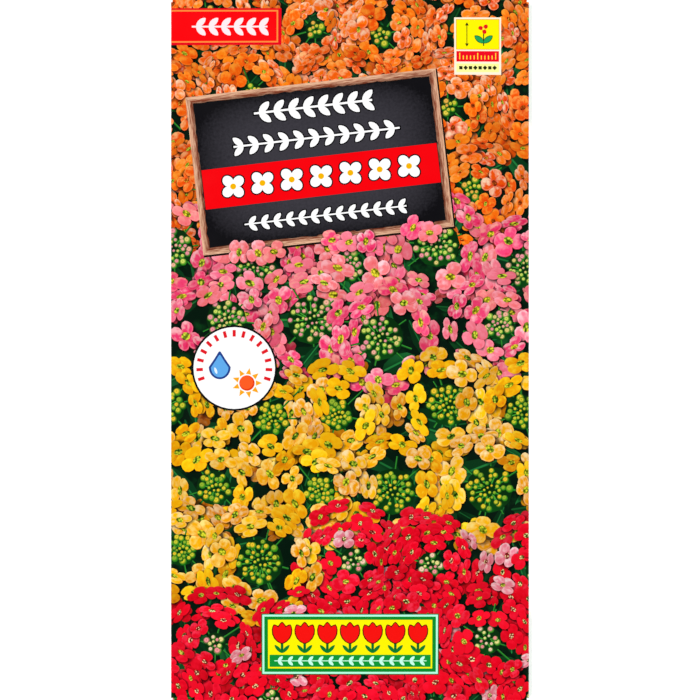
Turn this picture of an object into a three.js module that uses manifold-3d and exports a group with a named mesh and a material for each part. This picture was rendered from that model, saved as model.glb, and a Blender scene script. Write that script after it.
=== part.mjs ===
// A flower seed packet: one sheet of coated paper, folded and glued round a small sealed sachet of seeds.
// Millimetres, +Z up. The packet lies on its back with its picture side up and its head towards +Y.
// The origin is on the surface it lies on, under the middle of the packet.

import * as THREE from "three";
import { mergeVertices } from "three/addons/utils/BufferGeometryUtils.js";
import Module from "manifold-3d";

// Driving dimensions
const PACKET_WIDTH = 81.5;
const PACKET_HEIGHT = 160;
const PAPER = 0.2; // thickness of the coated paper
const GLUE_GAP = 0.12; // between two layers that are glued together
const EDGE_LEVEL = 1.2; // middle of the front panel's paper above the surface, along the packet's edges
const PUFF = 2.4; // how far the front panel rises above its edges
const PUFF_POWER_ACROSS = 4; // a higher power keeps the rise level closer to the edges
const PUFF_POWER_ALONG = 6;
const SEAM_TAB = 10; // the glue tab that runs down the left side, inside the back panel
const BACK_INSET = 1; // the back panel's free edge stops this far short of the left fold
const TOP_FLAP = 16;
const BOTTOM_FLAP = 13;
const FLAP_TAPER = 0.1; // how far each side of a flap draws in, for each mm of its length
const END_CLEARANCE = 0.5; // between the end of the folded tube and the fold of a flap

const SACHET_WIDTH = 56;
const SACHET_HEIGHT = 86;
const SACHET_CENTRE_Y = -20; // it has slid towards the foot of the packet
const SACHET_FILM = 0.12;
const SACHET_SEAL = 6; // width of the sealed rim
const SACHET_PUFF = 1.6;
const SACHET_POWER_ACROSS = 4;
const SACHET_POWER_ALONG = 20; // it is full right down to the seals at its ends
const FILM_GAP = 0.1; // between the two webs at the seal, and round the seeds

const SEED_LENGTH = 1.5;
const SEED_WIDTH = 1.2;
const SEED_THICKNESS = 0.8;
const SEED_SIDES = 6;
const SEED_SPACING = 0.95; // neighbours lie against each other
const SEED_SHIFT = 0.2; // how far one may lie off its place, in spacings
const SEED_COLUMNS = 14;
const SEED_ROWS = 6;
const SEED_LAYER_DROP = 3; // columns and rows fewer in the upper layer
const SEED_LAYER_RISE = 0.48; // of the upper layer above the lower one
const HEAP_CLEARANCE = 6; // from the lower seal to the middle of the lowest seeds
const RANDOM_SEED = 7;

// Heights of the layers, at the middle of each one's thickness
const LAYER = PAPER + GLUE_GAP;
const FLAP_LEVEL = PAPER / 2;
const BACK_LEVEL = FLAP_LEVEL + LAYER;
const TAB_LEVEL = BACK_LEVEL + LAYER;
const SACHET_BACK_LEVEL = BACK_LEVEL + PAPER / 2 + GLUE_GAP + SACHET_FILM / 2;
const SACHET_FRONT_LEVEL = SACHET_BACK_LEVEL + SACHET_FILM + FILM_GAP;

// Radii of the folds, at the middle of the paper
const LEFT_FOLD = (EDGE_LEVEL - TAB_LEVEL) / 2;
const RIGHT_FOLD = (EDGE_LEVEL - BACK_LEVEL) / 2;
const END_FOLD = (EDGE_LEVEL - FLAP_LEVEL) / 2;

// The flat of the front panel ends where its folds begin
const LEFT = -PACKET_WIDTH / 2 + LEFT_FOLD + PAPER / 2;
const RIGHT = PACKET_WIDTH / 2 - RIGHT_FOLD - PAPER / 2;
const TOP = PACKET_HEIGHT / 2 - END_FOLD - PAPER / 2;
const BOTTOM = -TOP;

const FOLD_STEPS = 4;
const PUFF_COLUMNS = 16;
const PUFF_ROWS = 26;
const FLAP_STEPS = 3;
const TAB_STEPS = 2;
const BACK_STEPS = 6;
const SACHET_COLUMNS = 10;
const SACHET_ROWS = 14;
const STEP = 1e-3; // for slopes

// A sheet of even thickness round the surface middle(u, v), on the cells of a grid that hasCell keeps.
// Its outer side is the one that the turn from u to v points out of.
function sheetGeometry(us, vs, hasCell, middle, thickness) {
  const positions = [];
  const triangles = [];
  const numbers = new Map();

  function vertex(i, j, side) {
    const key = `${i},${j},${side}`;
    if (!numbers.has(key)) {
      const u = us[i];
      const v = vs[j];
      const alongU = middle(u + STEP, v).sub(middle(u - STEP, v));
      const alongV = middle(u, v + STEP).sub(middle(u, v - STEP));
      const outwards = alongU.cross(alongV).normalize();
      const point = middle(u, v).addScaledVector(outwards, (side * thickness) / 2);
      numbers.set(key, positions.length / 3);
      positions.push(point.x, point.y, point.z);
    }
    return numbers.get(key);
  }

  function quad(a, b, c, d) {
    triangles.push(a, b, c, a, c, d);
  }

  function rim(i0, j0, i1, j1) {
    quad(vertex(i0, j0, -1), vertex(i1, j1, -1), vertex(i1, j1, 1), vertex(i0, j0, 1));
  }

  for (let i = 0; i < us.length - 1; i++) {
    for (let j = 0; j < vs.length - 1; j++) {
      if (!hasCell(i, j)) continue;
      quad(vertex(i, j, 1), vertex(i + 1, j, 1), vertex(i + 1, j + 1, 1), vertex(i, j + 1, 1));
      quad(vertex(i, j, -1), vertex(i, j + 1, -1), vertex(i + 1, j + 1, -1), vertex(i + 1, j, -1));
      if (!hasCell(i, j - 1)) rim(i, j, i + 1, j);
      if (!hasCell(i + 1, j)) rim(i + 1, j, i + 1, j + 1);
      if (!hasCell(i, j + 1)) rim(i + 1, j + 1, i, j + 1);
      if (!hasCell(i - 1, j)) rim(i, j + 1, i, j);
    }
  }
  return new THREE.BufferGeometry()
    .setAttribute("position", new THREE.Float32BufferAttribute(positions, 3))
    .setIndex(triangles);
}

// Numbers evenly spaced from one end to the other, without the first
function stepsTo(from, to, count) {
  return Array.from({ length: count }, (_, k) => from + ((to - from) * (k + 1)) / count);
}

// A flat-topped swell: 1 over the middle, 0 with no slope at both ends
function swell(at, from, to, power) {
  const share = Math.min(1, Math.abs((2 * at - from - to) / (to - from)));
  return (1 - share ** power) ** 2;
}

// Height of the middle of the front panel's paper
function frontLevel(x, y) {
  const across = swell(x, LEFT, RIGHT, PUFF_POWER_ACROSS);
  const along = swell(y, BOTTOM, TOP, PUFF_POWER_ALONG);
  return EDGE_LEVEL + PUFF * across * along;
}

// How far the paper has gone round a fold of this radius after a length, and then on along its next panel
function roundFold(length, radius) {
  const angle = Math.min(length / radius, Math.PI);
  return {
    out: radius * Math.sin(angle),
    down: radius * (1 - Math.cos(angle)),
    on: Math.max(0, length - Math.PI * radius),
  };
}

// The folded sheet, from its flat cut: u runs from the seam tab over the front panel to the back panel,
// and v from the bottom flap over the front panel to the top flap.
function foldedPaper(u, v) {
  const point = new THREE.Vector3(u, v, 0);
  if (v > TOP || v < BOTTOM) {
    const side = Math.sign(v);
    const bend = roundFold(Math.abs(v) - TOP, END_FOLD);
    const drawnIn = 1 - (FLAP_TAPER * bend.on) / (PACKET_WIDTH / 2);
    return point.set(u * drawnIn, side * (TOP + bend.out - bend.on), EDGE_LEVEL - bend.down);
  }
  if (u > RIGHT || u < LEFT) {
    const side = u > RIGHT ? 1 : -1;
    const edge = u > RIGHT ? RIGHT : LEFT;
    const bend = roundFold(Math.abs(u - edge), u > RIGHT ? RIGHT_FOLD : LEFT_FOLD);
    return point.set(edge + side * (bend.out - bend.on), v, EDGE_LEVEL - bend.down);
  }
  return point.setZ(frontLevel(u, v));
}

function paperEnvelope() {
  const leftFoldEnd = LEFT - Math.PI * LEFT_FOLD;
  const rightFoldEnd = RIGHT + Math.PI * RIGHT_FOLD;
  const backEdge = rightFoldEnd + RIGHT + PACKET_WIDTH / 2 - BACK_INSET;
  const us = [
    leftFoldEnd - SEAM_TAB,
    ...stepsTo(leftFoldEnd - SEAM_TAB, leftFoldEnd, TAB_STEPS),
    ...stepsTo(leftFoldEnd, LEFT, FOLD_STEPS),
    ...stepsTo(LEFT, RIGHT, PUFF_COLUMNS),
    ...stepsTo(RIGHT, rightFoldEnd, FOLD_STEPS),
    ...stepsTo(rightFoldEnd, backEdge, BACK_STEPS),
  ];
  const foldLength = Math.PI * END_FOLD;
  const tubeEnd = TOP - END_CLEARANCE;
  const vs = [
    BOTTOM - foldLength - BOTTOM_FLAP,
    ...stepsTo(BOTTOM - foldLength - BOTTOM_FLAP, BOTTOM - foldLength, FLAP_STEPS),
    ...stepsTo(BOTTOM - foldLength, BOTTOM, FOLD_STEPS),
    -tubeEnd,
    ...stepsTo(-tubeEnd, tubeEnd, PUFF_ROWS),
    TOP,
    ...stepsTo(TOP, TOP + foldLength, FOLD_STEPS),
    ...stepsTo(TOP + foldLength, TOP + foldLength + TOP_FLAP, FLAP_STEPS),
  ];
  // The front panel's columns run the sheet's whole length, and the others only the tube's
  function hasCell(i, j) {
    if (i < 0 || j < 0 || i >= us.length - 1 || j >= vs.length - 1) return false;
    const u = (us[i] + us[i + 1]) / 2;
    const v = (vs[j] + vs[j + 1]) / 2;
    return (u > LEFT && u < RIGHT) || Math.abs(v) < tubeEnd;
  }
  return sheetGeometry(us, vs, hasCell, foldedPaper, PAPER);
}

// One web of the sachet: flat at its sealed rim, and raised by puff between the seals
function sachetWeb(level, puff) {
  const halfWidth = SACHET_WIDTH / 2;
  const halfHeight = SACHET_HEIGHT / 2;
  const insideX = halfWidth - SACHET_SEAL;
  const insideY = halfHeight - SACHET_SEAL;
  const us = [-halfWidth, -insideX, ...stepsTo(-insideX, insideX, SACHET_COLUMNS), halfWidth];
  const vs = [-halfHeight, -insideY, ...stepsTo(-insideY, insideY, SACHET_ROWS), halfHeight];
  const hasCell = (i, j) => i >= 0 && j >= 0 && i < us.length - 1 && j < vs.length - 1;
  function middle(x, y) {
    const across = swell(x, -insideX, insideX, SACHET_POWER_ACROSS);
    const along = swell(y, -insideY, insideY, SACHET_POWER_ALONG);
    return new THREE.Vector3(x, SACHET_CENTRE_Y + y, level + puff * across * along);
  }
  return sheetGeometry(us, vs, hasCell, middle, SACHET_FILM);
}

// The seeds lie in two layers against the sachet's lower seal, each a flat oval turned its own way.
async function seedHeap() {
  const wasm = await Module();
  wasm.setup();
  let state = RANDOM_SEED;
  const random = () => {
    state = (state * 16807) % 2147483647;
    return state / 2147483647;
  };
  const outline = [new THREE.Vector2(0, -0.5), new THREE.Vector2(0.5, 0), new THREE.Vector2(0, 0.5)];
  const shape = new THREE.LatheGeometry(outline, SEED_SIDES).rotateX(Math.PI / 2);
  shape.deleteAttribute("normal");
  shape.deleteAttribute("uv");
  const lens = mergeVertices(shape, 1e-4);
  const size = new THREE.Vector3(SEED_LENGTH, SEED_WIDTH, SEED_THICKNESS);
  const bed = SACHET_BACK_LEVEL + SACHET_FILM / 2 + FILM_GAP + SEED_THICKNESS / 2;
  const heapBottom = SACHET_CENTRE_Y - SACHET_HEIGHT / 2 + SACHET_SEAL + HEAP_CLEARANCE;
  const solids = [];
  for (let layer = 0; layer < 2; layer++) {
    const columns = SEED_COLUMNS - layer * SEED_LAYER_DROP;
    const rows = SEED_ROWS - layer * SEED_LAYER_DROP;
    for (let column = 0; column < columns; column++) {
      for (let row = 0; row < rows; row++) {
        const turn = new THREE.Euler(0, 0, random() * Math.PI);
        const place = new THREE.Vector3(
          (column - (columns - 1) / 2 + SEED_SHIFT * (random() - 0.5)) * SEED_SPACING,
          heapBottom + (row + layer + SEED_SHIFT * (random() - 0.5)) * SEED_SPACING,
          bed + layer * SEED_LAYER_RISE,
        );
        const matrix = new THREE.Matrix4().compose(place, new THREE.Quaternion().setFromEuler(turn), size);
        const seed = lens.clone().applyMatrix4(matrix);
        solids.push(
          new wasm.Manifold(
            new wasm.Mesh({
              numProp: 3,
              vertProperties: seed.attributes.position.array,
              triVerts: new Uint32Array(seed.index.array),
            }),
          ),
        );
      }
    }
  }
  const heap = solids.reduce((joined, next) => joined.add(next)).getMesh();
  return new THREE.BufferGeometry()
    .setAttribute("position", new THREE.BufferAttribute(heap.vertProperties, 3))
    .setIndex(new THREE.BufferAttribute(heap.triVerts, 1));
}

const coatedPaper = new THREE.MeshStandardMaterial({ color: 0xd9702e, roughness: 0.38, metalness: 0 });
const sachetFilm = new THREE.MeshStandardMaterial({ color: 0xe9e7df, roughness: 0.5, metalness: 0 });
const seedCoat = new THREE.MeshStandardMaterial({ color: 0x9a5f2c, roughness: 0.7, metalness: 0 });

function piece(name, geometry, material) {
  const mesh = new THREE.Mesh(geometry, material);
  mesh.name = name;
  return mesh;
}

const packet = new THREE.Group();
packet.add(
  piece("paper_envelope", paperEnvelope(), coatedPaper),
  piece("sachet_back_web", sachetWeb(SACHET_BACK_LEVEL, 0), sachetFilm),
  piece("sachet_front_web", sachetWeb(SACHET_FRONT_LEVEL, SACHET_PUFF), sachetFilm),
  piece("seeds", await seedHeap(), seedCoat),
);

export default packet;
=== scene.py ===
import math
import random
from collections import defaultdict
from functools import partial

import bpy
import numpy as np
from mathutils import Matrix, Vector
from mathutils.bvhtree import BVHTree
from mathutils.geometry import delaunay_2d_cdt


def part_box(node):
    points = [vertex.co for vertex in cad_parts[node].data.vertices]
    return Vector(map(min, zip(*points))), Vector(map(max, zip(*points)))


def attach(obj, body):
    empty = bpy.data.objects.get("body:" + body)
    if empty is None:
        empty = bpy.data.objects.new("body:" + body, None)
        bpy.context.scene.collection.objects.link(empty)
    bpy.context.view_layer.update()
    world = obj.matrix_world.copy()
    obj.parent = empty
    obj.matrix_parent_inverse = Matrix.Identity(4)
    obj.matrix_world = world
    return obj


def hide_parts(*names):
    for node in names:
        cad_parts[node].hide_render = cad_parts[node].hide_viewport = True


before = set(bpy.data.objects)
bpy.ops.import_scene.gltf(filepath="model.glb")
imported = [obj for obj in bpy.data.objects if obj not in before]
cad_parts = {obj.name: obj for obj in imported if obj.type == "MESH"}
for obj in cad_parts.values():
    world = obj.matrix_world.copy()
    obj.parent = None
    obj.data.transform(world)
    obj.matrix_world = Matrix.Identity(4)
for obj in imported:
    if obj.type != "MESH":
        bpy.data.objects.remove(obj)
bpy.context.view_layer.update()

# The folded sheet
# One sheet of paper, coated and printed on the outside. It is cut flat, folded into a tube whose back
# panel is glued over a tab, and closed by a flap folded over each end. Lengths here are in mm.
MM = 0.001
envelope_low, envelope_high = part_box("paper_envelope")
PACKET_WIDTH = (envelope_high.x - envelope_low.x) / MM
PACKET_HEIGHT = (envelope_high.y - envelope_low.y) / MM
PAPER = 0.2
GLUE_GAP = 0.12
EDGE_LEVEL = 1.2
PUFF = 2.4
PUFF_POWER_ACROSS = 4
PUFF_POWER_ALONG = 6
RIPPLE = 0.10
SEAM_TAB = 10
BACK_INSET = 1
TOP_FLAP = 16
BOTTOM_FLAP = 13
FLAP_TAPER = 0.1
END_CLEARANCE = 0.15

# The middle of the paper's level in each layer, from the flaps up, and the folds between them
FLAP_LEVEL = PAPER / 2
BACK_LEVEL = FLAP_LEVEL + PAPER + GLUE_GAP
TAB_LEVEL = BACK_LEVEL + PAPER + GLUE_GAP
LEFT_FOLD = (EDGE_LEVEL - TAB_LEVEL) / 2
RIGHT_FOLD = (EDGE_LEVEL - BACK_LEVEL) / 2
END_FOLD = (EDGE_LEVEL - FLAP_LEVEL) / 2
LEFT = -PACKET_WIDTH / 2 + LEFT_FOLD + PAPER / 2
RIGHT = PACKET_WIDTH / 2 - RIGHT_FOLD - PAPER / 2
TOP = PACKET_HEIGHT / 2 - END_FOLD - PAPER / 2
TUBE_END = TOP - END_CLEARANCE

# The flat cut: u runs from the tab over the front to the back, and v from flap to flap
TAB_FOLD = LEFT - math.pi * LEFT_FOLD
TAB_EDGE = TAB_FOLD - SEAM_TAB
BACK_FOLD = RIGHT + math.pi * RIGHT_FOLD
BACK_EDGE = BACK_FOLD + RIGHT + PACKET_WIDTH / 2 - BACK_INSET
TOP_FOLD = TOP + math.pi * END_FOLD
TOP_EDGE = TOP_FOLD + TOP_FLAP
BOTTOM_EDGE = -TOP_FOLD - BOTTOM_FLAP
CUT = [
    (LEFT, BOTTOM_EDGE),
    (RIGHT, BOTTOM_EDGE),
    (RIGHT, -TUBE_END),
    (BACK_EDGE, -TUBE_END),
    (BACK_EDGE, TUBE_END),
    (RIGHT, TUBE_END),
    (RIGHT, TOP_EDGE),
    (LEFT, TOP_EDGE),
    (LEFT, TUBE_END),
    (TAB_EDGE, TUBE_END),
    (TAB_EDGE, -TUBE_END),
    (LEFT, -TUBE_END),
]


def swell(at, start, end, power):
    """A flat-topped swell: 1 over the middle, 0 with no slope at both ends."""
    share = np.minimum(1, np.abs((2 * at - start - end) / (end - start)))
    return (1 - share**power) ** 2


def front_level(x, y):
    """The front panel bulges over its contents, and ripples a little as thin paper does."""
    full = swell(x, LEFT, RIGHT, PUFF_POWER_ACROSS) * swell(y, -TOP, TOP, PUFF_POWER_ALONG)
    ripples = RIPPLE * np.sin(x / 9 + 1.3 * np.sin(y / 17)) * np.sin(y / 13 + 0.7 * np.sin(x / 11))
    free = swell(x, LEFT, RIGHT, 2 * PUFF_POWER_ACROSS) * swell(y, -TOP, TOP, 2 * PUFF_POWER_ALONG)
    return EDGE_LEVEL + PUFF * full + ripples * free


def round_fold(length, radius):
    """How far out, down and on this length of paper goes as it turns back under itself."""
    angle = np.clip(length / radius, 0, math.pi)
    on = np.maximum(0, length - math.pi * radius)
    return radius * np.sin(angle) - on, radius * (1 - np.cos(angle)), on


def folded(u, v):
    """Where the middle of the paper lies once the flat sheet is folded."""
    side = np.where(u > 0, 1, -1)
    radius = np.where(u > 0, RIGHT_FOLD, LEFT_FOLD)
    edge = np.where(u > 0, RIGHT, LEFT)
    out, down, _ = round_fold(np.abs(u - edge), radius)
    end_out, end_down, end_on = round_fold(np.abs(v) - TOP, END_FOLD)
    at_end = np.abs(v) > TOP
    at_side = ~at_end & ((u > RIGHT) | (u < LEFT))
    taper = 1 - FLAP_TAPER * end_on / (PACKET_WIDTH / 2)
    x = np.where(at_end, u * taper, np.where(at_side, edge + side * out, u))
    y = np.where(at_end, np.sign(v) * (TOP + end_out), v)
    panels = np.where(at_side, EDGE_LEVEL - down, front_level(u, v))
    return np.stack([x, y, np.where(at_end, EDGE_LEVEL - end_down, panels)], -1)


def normals_at(u, v):
    step = 1e-3
    across = folded(u + step, v) - folded(u - step, v)
    along = folded(u, v + step) - folded(u, v - step)
    normal = np.cross(across, along)
    return normal / np.linalg.norm(normal, axis=-1, keepdims=True)


# The print
# Offset print has no relief, so it is laid out on the flat sheet as a stack of outlines, each over those
# before it. Each has a frame of its own, its spot, in which its ink is shaded.
rng = random.Random(4)
shapes = []
shadows = {}
LIGHT = np.array([-0.55, 0.83])
PLAIN = np.eye(2)


def linear(code):
    """An sRGB hex colour as linear red, green and blue."""
    values = np.array([int(code[k : k + 2], 16) / 255 for k in (0, 2, 4)])
    return np.where(values <= 0.04045, values / 12.92, ((values + 0.055) / 1.055) ** 2.4)


def turned(angle):
    return np.array([[math.cos(angle), -math.sin(angle)], [math.sin(angle), math.cos(angle)]])


def lay(outline, ink, main, second=None, centre=(0, 0), form=PLAIN):
    """Prints an outline, in units that form turns to mm, over everything laid before it."""
    shapes.append(
        {
            "points": np.asarray(outline) @ form.T + centre,
            "ink": ink,
            "main": main,
            "second": main if second is None else second,
            "centre": np.asarray(centre, float),
            "inverse": np.linalg.inv(form),
            "light": form.T @ LIGHT / math.sqrt(abs(np.linalg.det(form))),
            "seed": rng.random(),
        }
    )


def ring(count):
    angles = np.arange(count) * 2 * math.pi / count
    return np.stack([np.cos(angles), np.sin(angles)], -1)


def box(low_u, low_v, high_u, high_v):
    return np.array([(low_u, low_v), (high_u, low_v), (high_u, high_v), (low_u, high_v)])


# The printed flowers
# Heads of small florets, each with four round petals, stand about a dome of buds on radiating stalks.
# They are orange at the top, then pink, yellow and red, over leaves in deep green shade.
PETAL_BASE = 0.35
PETAL_WAIST = 0.3
SHADOW_POINTS = 12
SHADOW_SHIFT = 0.25
SHADOW_SPREAD = 0.5
SHADOW_STRENGTH = 0.9
DEEP = 0.7
GOLDEN_ANGLE = 2.39996


def petal_outline(count):
    """Round at the tip with a shallow notch, and drawn out to a narrow base."""
    along, across = ring(count).T
    base = np.minimum(along, 0)
    notch = 0.07 * np.exp(-((across / 0.3) ** 2)) * (along > 0)
    return np.stack([along + PETAL_BASE * base - notch, across * (1 + PETAL_WAIST * base)], -1)


def leaf_outline(count):
    along, across = ring(count).T
    return np.stack([along, across * np.sqrt(np.abs(across))], -1)


PETAL = petal_outline(11)
LEAF = leaf_outline(8)
BUD = ring(7)
EYE = ring(8)

# Each ring of florets has its share of the head's reach, their number, their radius in mm and their tilt
OPEN_RINGS = ((0.98, 10, 3.7, 0.74), (0.72, 7, 3.7, 0.84))
FULL_RINGS = ((1.02, 12, 3.2, 0.66), (0.76, 10, 3.2, 0.76), (0.46, 6, 3.1, 0.90))
FAMILIES = {
    "orange": {
        "blades": ["FC7408", "F66606", "FB8410", "F05606", "FA7C12"],
        "lights": ["FFA030", "FFB878", "FFAA50", "FFD8B4"],
        "eyes": [("B05A10", "8A2C08"), ("D8CC3A", "7A8A1A"), ("E09A28", "9A3A0C")],
        "eye": 0.2,
        "tips": ["E8D048", "D0C83A", "F0B04A"],
        "rings": FULL_RINGS,
        "fillers": (11, 0.5, 0.8),
        "dome": 0.2,
        "buds": 11,
    },
    "pink": {
        "blades": ["FA6C90", "F8467C", "FB7E94", "F87A80", "F23A74"],
        "lights": ["FFA8B8", "FFB8C0", "FF94A8", "FFC8CE", "FFA89E"],
        "eyes": [("EADA34", "8A8A14"), ("DCE040", "6E8418")],
        "eye": 0.28,
        "tips": ["F6B09A", "F490A0", "E4CC7A", "D0DC64"],
        "rings": OPEN_RINGS,
        "fillers": (6, 0.38, 0.62),
        "dome": 0.38,
        "buds": 36,
    },
    "yellow": {
        "blades": ["FABA06", "F4AC04", "FFC60A", "F0A004"],
        "lights": ["FFDC30", "FFE480", "FFD418", "FFE8AC"],
        "eyes": [("DCDC2C", "7A8A14"), ("C8D430", "4E7014")],
        "eye": 0.27,
        "tips": ["E4CC30", "CCC832", "F0C42C", "94B02E"],
        "rings": OPEN_RINGS,
        "fillers": (3, 0.3, 0.55),
        "dome": 0.4,
        "buds": 38,
    },
    "red": {
        "blades": ["F20622", "E80220", "F80C2A", "EC0828"],
        "lights": ["FC1A38", "F8102E", "FC3654"],
        "eyes": [("F0E49A", "5A5A12"), ("F4DCA0", "8A0A14"), ("E4DC50", "7A8418")],
        "eye": 0.22,
        "tips": ["FAD0B4", "F0E490", "FA9098"],
        "rings": FULL_RINGS,
        "fillers": (9, 0.4, 0.68),
        "dome": 0.24,
        "buds": 14,
    },
}


def dimmed(colour, dim):
    """Petals in the shade of others are darker, and deeper in colour as light comes through them."""
    return colour * np.array([dim**0.85, dim**1.4, dim**1.5])


def cast_shadow(centre, slant, radii):
    """Soft shade on what lies under a floret: full at its outline, and gone at the shadow's own."""
    outer = radii + SHADOW_SPREAD
    shadows[len(shapes)] = (radii * 0.96, outer)
    lay(ring(SHADOW_POINTS) * outer[:, None], "shade", (0, 0, 0), None, centre - SHADOW_SHIFT * LIGHT, slant)


def floret(centre, radius, family, lean, tilt, dim):
    """Four petals in a cross about an eye. It leans one way, so it looks shorter there. Deep ones have
    no eye and cast no shadow."""
    kind = FAMILIES[family]
    slant = turned(lean) @ np.diag([tilt, 1]) @ turned(-lean)
    first = rng.uniform(0, math.pi / 2)
    if dim > DEEP:
        angles = np.arange(SHADOW_POINTS) * 2 * math.pi / SHADOW_POINTS
        radii = radius * (0.84 + 0.12 * np.cos(4 * (angles - first)))
        cast_shadow(centre, slant, radii)
    blade = linear(rng.choice(kind["blades"]))
    light = linear(rng.choice(kind["lights"]))
    if family == "red" and rng.random() < 0.07:
        blade = linear("F08A9E")
        light = linear("FFE2E4")
    for k in rng.sample(range(4), 4):
        angle = first + k * math.pi / 2 + rng.gauss(0, 0.15)
        reach = radius * rng.uniform(0.86, 1.07)
        facing = slant @ turned(angle)
        form = facing @ np.diag([0.44 * reach, 0.48 * reach * rng.uniform(0.88, 1.15)])
        tone = dim * rng.uniform(0.84, 1.06)
        colours = dimmed(blade, tone), dimmed(light, tone)
        lay(PETAL, "petal", *colours, centre + facing @ (0.57 * reach, 0), form)
    if dim > DEEP:
        eye = slant @ turned(rng.uniform(0, 6)) @ np.diag([1.15, 0.85]) * kind["eye"] * radius
        anther, hollow = rng.choice(kind["eyes"])
        lay(EYE, "eye", linear(anther) * dim, linear(hollow) * dim, centre, eye)


def stem(start, end, width, main, second):
    half = (np.asarray(end) - start) / 2
    side = np.array([-half[1], half[0]]) / np.hypot(*half) * width / 2
    lay(box(-1, -1, 1, 1), "stem", main, second, np.asarray(start) + half, np.stack([half, side], -1))


def leaf(centre, length, width, angle, dim):
    form = turned(angle) @ np.diag([length / 2, width / 2])
    lay(LEAF, "leaf", linear("083E1C") * dim, linear("2C9A4A") * dim, centre, form)


def bud_dome(centre, reach, count, tips):
    """Tight buds on stalks of their own, smaller and closer together towards the middle."""
    lay(ring(12), "ground", linear("042C0A"), linear("0B5214"), centre, PLAIN * (reach + 0.5))
    for k in range(count, 0, -1):
        share = k / count
        out = turned(k * GOLDEN_ANGLE + rng.gauss(0, 0.1)) @ (1, 0) * reach * share**0.62
        out = out * rng.uniform(0.92, 1.06)
        if share > 0.5:
            stem(centre + out * 0.4, centre + out, 0.32, linear("14661C"), linear("4CAA36"))
        size = (0.4 + 0.52 * share) * rng.uniform(0.8, 1.15)
        base = linear(rng.choice(["187416", "2E861A", "0E5A12"]))
        lay(BUD, "bud", base, linear(rng.choice(tips)), centre + out, PLAIN * size)


def flower_head(centre, reach, family):
    """Open florets stand at the edge, and tight buds on stalks of their own in the middle."""
    kind = FAMILIES[family]
    young = rng.choice((0.72, 0.9, 1.0, 1.0, 1.1))
    for k in range(8):
        out = turned(k * 0.79 + rng.gauss(0, 0.2)) @ (1, 0)
        tip = centre + out * reach * rng.uniform(0.5, 0.8)
        stem(centre + out, tip, rng.uniform(0.32, 0.46), linear("0C4214"), linear("2F8A2C"))
    for ring_number, (share, count, size, tilt) in enumerate(kind["rings"]):
        if ring_number == 1:
            bud_dome(centre, reach * kind["dome"] * young, round(kind["buds"] * young), kind["tips"])
            share = share * (0.4 + 0.6 * young)
        start = rng.uniform(0, 6.3)
        for k in rng.sample(range(count), count):
            angle = start + (k + rng.gauss(0, 0.18)) * 2 * math.pi / count
            place = centre + turned(angle) @ (reach * share * rng.uniform(0.9, 1.1), 0)
            dim = rng.uniform(0.72, 0.96) if ring_number == 0 else rng.uniform(0.88, 1.04)
            floret(place, size * rng.uniform(0.85, 1.1), family, angle, tilt * rng.uniform(0.68, 1.12), dim)


def family_at(place):
    """Bands of colour from the packet's head to its foot, with slanting edges."""
    x, y = place
    if y > 27 - 0.06 * x:
        return "orange"
    if y > -5 + 0.10 * x:
        return "pink"
    return "yellow" if y > -46 + 0.14 * x else "red"


# The print's ground runs a little round both side folds, and all over the two flaps
PRINT_WRAP = 1.6
PRINT_LEFT = LEFT - LEFT_FOLD * PRINT_WRAP
PRINT_RIGHT = RIGHT + RIGHT_FOLD * PRINT_WRAP
COATED_WHITE = linear("F7F5EF")
HEAD_SPACING = 20.5
ROW_STEP = HEAD_SPACING * 0.84
HEAD_STRAY_ACROSS = 3.4
HEAD_STRAY_ALONG = 3
HEAD_LEAVES = 7
lay(box(TAB_EDGE, BOTTOM_EDGE, BACK_EDGE, TOP_EDGE), "solid", COATED_WHITE)
lay(box(PRINT_LEFT, BOTTOM_EDGE, PRINT_RIGHT, TOP_EDGE), "ground", linear("02160A"), linear("083C16"))

heads = []
for row in range(int((TOP_EDGE - BOTTOM_EDGE) / ROW_STEP) + 2):
    for column in range(6):
        stray = rng.uniform(-HEAD_STRAY_ACROSS, HEAD_STRAY_ACROSS)
        x = (column - 2.5 + 0.5 * (row % 2)) * HEAD_SPACING + stray
        y = BOTTOM_EDGE + (row - 0.3) * ROW_STEP + rng.uniform(-HEAD_STRAY_ALONG, HEAD_STRAY_ALONG)
        if abs(x) < PACKET_WIDTH / 2 + 9:
            heads.append(np.array([x, y]))
heads.sort(key=lambda place: -place[1])
for place in heads:
    for _ in range(HEAD_LEAVES):
        middle = place + np.array([rng.uniform(-12, 12), rng.uniform(-11, 11)])
        leaf(middle, rng.uniform(8, 15), rng.uniform(2.4, 5), rng.uniform(0, 6.3), rng.uniform(0.25, 0.85))
for place in heads:
    family = family_at(place)
    count, darkest, palest = FAMILIES[family]["fillers"]
    for _ in range(count):
        away = place + turned(rng.uniform(0, 6.3)) @ (rng.uniform(9, 14), 0)
        size = rng.uniform(2.4, 3.1)
        floret(away, size, family, rng.uniform(0, 6.3), rng.uniform(0.6, 1), rng.uniform(darkest, palest))
for place in heads:
    flower_head(place, rng.uniform(10.6, 12.4), family_at(place))

# The tab isn't printed, and the back starts as plain coated white
lay(box(TAB_EDGE - 30, BOTTOM_EDGE, PRINT_LEFT, TOP_EDGE), "solid", COATED_WHITE)
lay(box(PRINT_RIGHT, BOTTOM_EDGE, BACK_EDGE + 1, TOP_EDGE), "solid", COATED_WHITE)

# The printed labels
# Over the flowers lie a red strip, a small badge, a slate in a wooden frame, a round badge and a plate
# at the foot. They carry plain ornaments: sprigs, blossoms, drops and ticks.
EDGE_WIDTH = 0.3
LABEL_LEAF = leaf_outline(14)
LABEL_PETAL = ring(14)
DISC = ring(40)
TRIANGLE = ring(3)


def flat(outline, colour, centre=(0, 0), form=PLAIN):
    lay(outline, "solid", linear(colour), centre=centre, form=form)


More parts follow.
